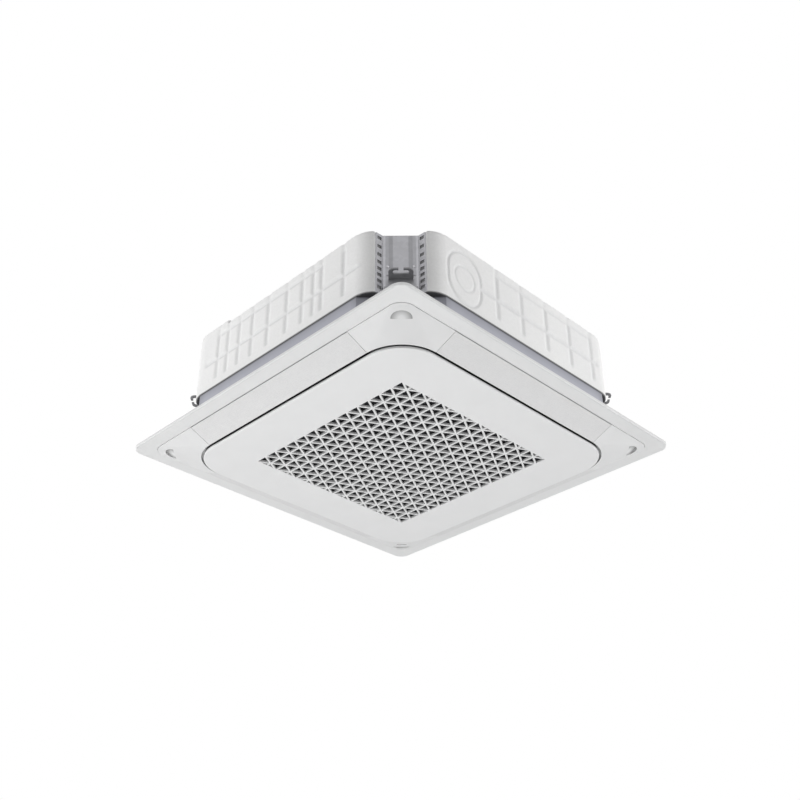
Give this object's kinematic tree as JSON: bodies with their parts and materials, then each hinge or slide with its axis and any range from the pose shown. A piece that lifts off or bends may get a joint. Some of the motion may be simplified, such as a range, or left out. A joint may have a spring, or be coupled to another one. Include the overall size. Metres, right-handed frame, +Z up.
{
  "type": "ceiling cassette air conditioner",
  "caption": "Square ceiling cassette indoor unit: an octagonal foam-clad body with hanger brackets over a wide panel with a lattice intake grille and tilting outlet blades.",
  "frame": {"origin": "centre of the panel, in the plane of the ceiling that the rim rests against", "axes": "+Z up out of the ceiling void, +Y to the side with the grille's hinge and the drain outlet, +X to the side with the refrigerant pipes"},
  "size_m": [0.95, 0.95, 0.316],
  "materials": {
    "panel": "smooth white",
    "blade": "finely pitted white",
    "cover": "smooth white",
    "grille": "smooth white",
    "foam_white": "moulded foam",
    "foam_grey": "moulded foam",
    "band": "painted steel",
    "steel": "galvanised",
    "bracket": "dark plated steel",
    "screw": "plated",
    "gasket": "foam strip",
    "mouth": "moulded",
    "fan": "moulded",
    "motor": "cast and painted",
    "rubber": "matt",
    "fins": "thin fins",
    "copper": "drawn copper",
    "brass": "turned",
    "filter": "moulded",
    "mesh": "fine net",
    "pump": "moulded",
    "float": "moulded",
    "hose": "flexible",
    "board": "laminate",
    "small_motor": "moulded",
    "window": "smoked",
    "guide": "moulded black"
  },
  "bodies": {
    "unit": {"air_guide": "guide", "base_frame": "band", "bell_mouth": "mouth", "blade_motor_east": "small_motor", "blade_motor_north": "small_motor", "blade_motor_south": "small_motor", "blade_motor_west": "small_motor", "bracket_screws": "screw", "cable_gland": "rubber", "casing": "foam_white", "circuit_board": "board", "control_box": "steel", "control_box_lid": "steel", "corner_plate_north_east": "steel", "corner_plate_north_west": "steel", "corner_plate_south_east": "steel", "corner_plate_south_west": "steel", "drain_hose": "hose", "drain_outlet": "pump", "drain_pan": "foam_grey", "drain_pump": "pump", "fan_motor": "motor", "gas_flare_nut": "brass", "gas_pipe": "copper", "hanger_bracket_north_east": "bracket", "hanger_bracket_north_west": "bracket", "hanger_bracket_south_east": "bracket", "hanger_bracket_south_west": "bracket", "heat_exchanger": "fins", "liquid_flare_nut": "brass", "liquid_pipe": "copper", "motor_bracket": "steel", "motor_rubbers": "rubber", "panel_frame": "panel", "panel_gasket": "gasket", "panel_screws": "screw", "pipe_plate": "steel", "return_bends": "copper", "terminal_block": "pump", "top_plate": "steel", "tube_sheets": "steel"},
    "fan": {"fan_impeller": "fan", "motor_shaft": "steel", "hub_nut": "steel"},
    "blade_east": {"blade_east": "blade"},
    "blade_north": {"blade_north": "blade"},
    "blade_west": {"blade_west": "blade"},
    "blade_south": {"blade_south": "blade"},
    "cover_north_east": {"corner_cover_north_east": "cover", "receiver_window": "window"},
    "cover_north_west": {"corner_cover_north_west": "cover"},
    "cover_south_west": {"corner_cover_south_west": "cover"},
    "cover_south_east": {"corner_cover_south_east": "cover"},
    "grille": {"intake_grille": "grille", "filter_frame": "filter", "filter_mesh": "mesh"},
    "latch_west": {"grille_latch_west": "grille"},
    "latch_east": {"grille_latch_east": "grille"},
    "float": {"pump_float": "float"}
  },
  "joints": [
    {"name": "fan_spin", "type": "hinge", "parent": "unit", "child": "fan", "pos_m": [0, 0, 0.15], "axis": [0, 0, 1], "continuous": true},
    {"name": "blade_east_tilt", "type": "hinge", "parent": "unit", "child": "blade_east", "pos_m": [0.396, 0, -0.016], "axis": [0, 1, 0], "range_deg": [0, 60]},
    {"name": "blade_north_tilt", "type": "hinge", "parent": "unit", "child": "blade_north", "pos_m": [0, 0.396, -0.016], "axis": [-1, 0, 0], "range_deg": [0, 60]},
    {"name": "blade_west_tilt", "type": "hinge", "parent": "unit", "child": "blade_west", "pos_m": [-0.396, 0, -0.016], "axis": [0, -1, 0], "range_deg": [0, 60]},
    {"name": "blade_south_tilt", "type": "hinge", "parent": "unit", "child": "blade_south", "pos_m": [0, -0.396, -0.016], "axis": [1, 0, 0], "range_deg": [0, 60]},
    {"name": "grille_hinge", "type": "hinge", "parent": "unit", "child": "grille", "pos_m": [0, 0.362, -0.035], "axis": [1, 0, 0], "range_deg": [0, 75]},
    {"name": "latch_west_slide", "type": "slide", "parent": "grille", "child": "latch_west", "axis": [0, 1, 0], "range_m": [0, 0.005], "stiffness_N_per_m": 250, "springref_m": -0.003},
    {"name": "latch_east_slide", "type": "slide", "parent": "grille", "child": "latch_east", "axis": [0, 1, 0], "range_m": [0, 0.005], "stiffness_N_per_m": 250, "springref_m": -0.003},
    {"name": "float_slide", "type": "slide", "parent": "unit", "child": "float", "axis": [0, 0, 1], "range_m": [0, 0.015]},
    {"name": "cover_north_east_tilt", "type": "hinge", "parent": "unit", "child": "cover_north_east", "pos_m": [0.3281, 0.3281, -0.033], "axis": [-0.7071, 0.7071, 0], "range_deg": [0, 8]},
    {"name": "cover_north_west_tilt", "type": "hinge", "parent": "unit", "child": "cover_north_west", "pos_m": [-0.3281, 0.3281, -0.033], "axis": [-0.7071, -0.7071, 0], "range_deg": [0, 8]},
    {"name": "cover_south_west_tilt", "type": "hinge", "parent": "unit", "child": "cover_south_west", "pos_m": [-0.3281, -0.3281, -0.033], "axis": [0.7071, -0.7071, 0], "range_deg": [0, 8]},
    {"name": "cover_south_east_tilt", "type": "hinge", "parent": "unit", "child": "cover_south_east", "pos_m": [0.3281, -0.3281, -0.033], "axis": [0.7071, 0.7071, 0], "range_deg": [0, 8]}
  ]
}
